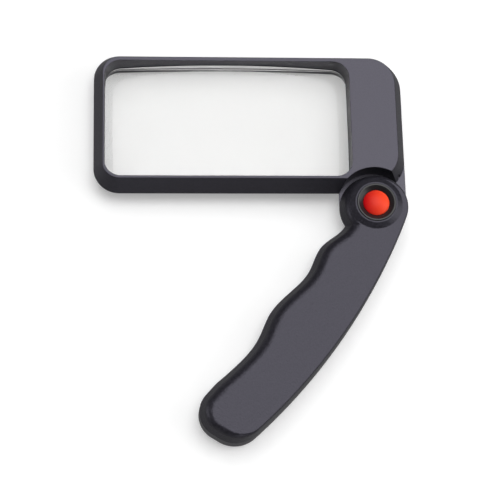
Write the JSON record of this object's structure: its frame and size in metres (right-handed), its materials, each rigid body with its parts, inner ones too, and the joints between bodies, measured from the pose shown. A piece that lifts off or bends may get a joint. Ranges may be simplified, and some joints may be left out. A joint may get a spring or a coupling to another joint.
{
  "type": "magnifying glass",
  "caption": "Folding lighted hand magnifier with a rectangular lens in a slim head, a swinging battery handle with finger waves, and a round push button on the hub.",
  "frame": {"origin": "on the folding axis, at the level of the flat back that the object lies on", "axes": "+Z out of the front face, +X along the head's long side away from the lens, +Y from the hub across the head"},
  "size_m": [0.127, 0.1618, 0.0186],
  "materials": {
    "shell_grey": "satin charcoal plastic with a fine even grain",
    "shell_black": "satin black plastic",
    "lens_clear": "clear polished acrylic",
    "button_red": "glossy red plastic",
    "bezel": "semi-gloss dark plastic",
    "circuit_board": "green solder mask",
    "diode": "clear epoxy",
    "component_black": "moulded epoxy",
    "cover_clear": "clear plastic",
    "brass": "turned",
    "spring_steel": "bright spring steel",
    "nylon": "natural nylon",
    "screw_steel": "zinc plated",
    "contact_nickel": "nickel plated",
    "cell_jacket": "printed sleeve without marks",
    "wire_insulation": "PVC insulation"
  },
  "bodies": {
    "head": {"head_rear_shell": "shell_black", "head_front_shell": "shell_grey", "lens": "lens_clear", "lamp_board": "circuit_board", "lamp_diodes": "diode", "lamp_resistor": "component_black", "lamp_cover": "cover_clear", "lamp_wires": "wire_insulation", "head_screws": "screw_steel", "pivot_tube": "brass", "retaining_ring": "spring_steel"},
    "handle": {"handle_rear_shell": "shell_black", "handle_front_shell": "shell_grey", "friction_washer": "nylon", "button_bezel": "bezel", "switch_board": "circuit_board", "push_switch": "component_black", "battery_1": "cell_jacket", "battery_2": "cell_jacket", "contact_springs": "spring_steel", "terminal_plates": "contact_nickel", "bridge_plate": "contact_nickel", "battery_wires": "wire_insulation", "handle_screws": "screw_steel"},
    "button": {"button": "button_red", "switch_plunger": "component_black"},
    "battery_door": {"battery_door": "shell_black"}
  },
  "joints": [
    {"name": "handle_fold", "type": "hinge", "parent": "head", "child": "handle", "pos_m": [0, 0, 0.0085], "axis": [0, 0, 1], "range_deg": [-49.5, 90]},
    {"name": "button_press", "type": "slide", "parent": "handle", "child": "button", "axis": [0, 0, -1], "range_m": [0, 0.001], "stiffness_N_per_m": 1500},
    {"name": "battery_door_hinge", "type": "hinge", "parent": "handle", "child": "battery_door", "pos_m": [-0.0195, -0.0395, 0.0016], "axis": [0.7627, -0.6468, 0], "range_deg": [0, 80]}
  ]
}
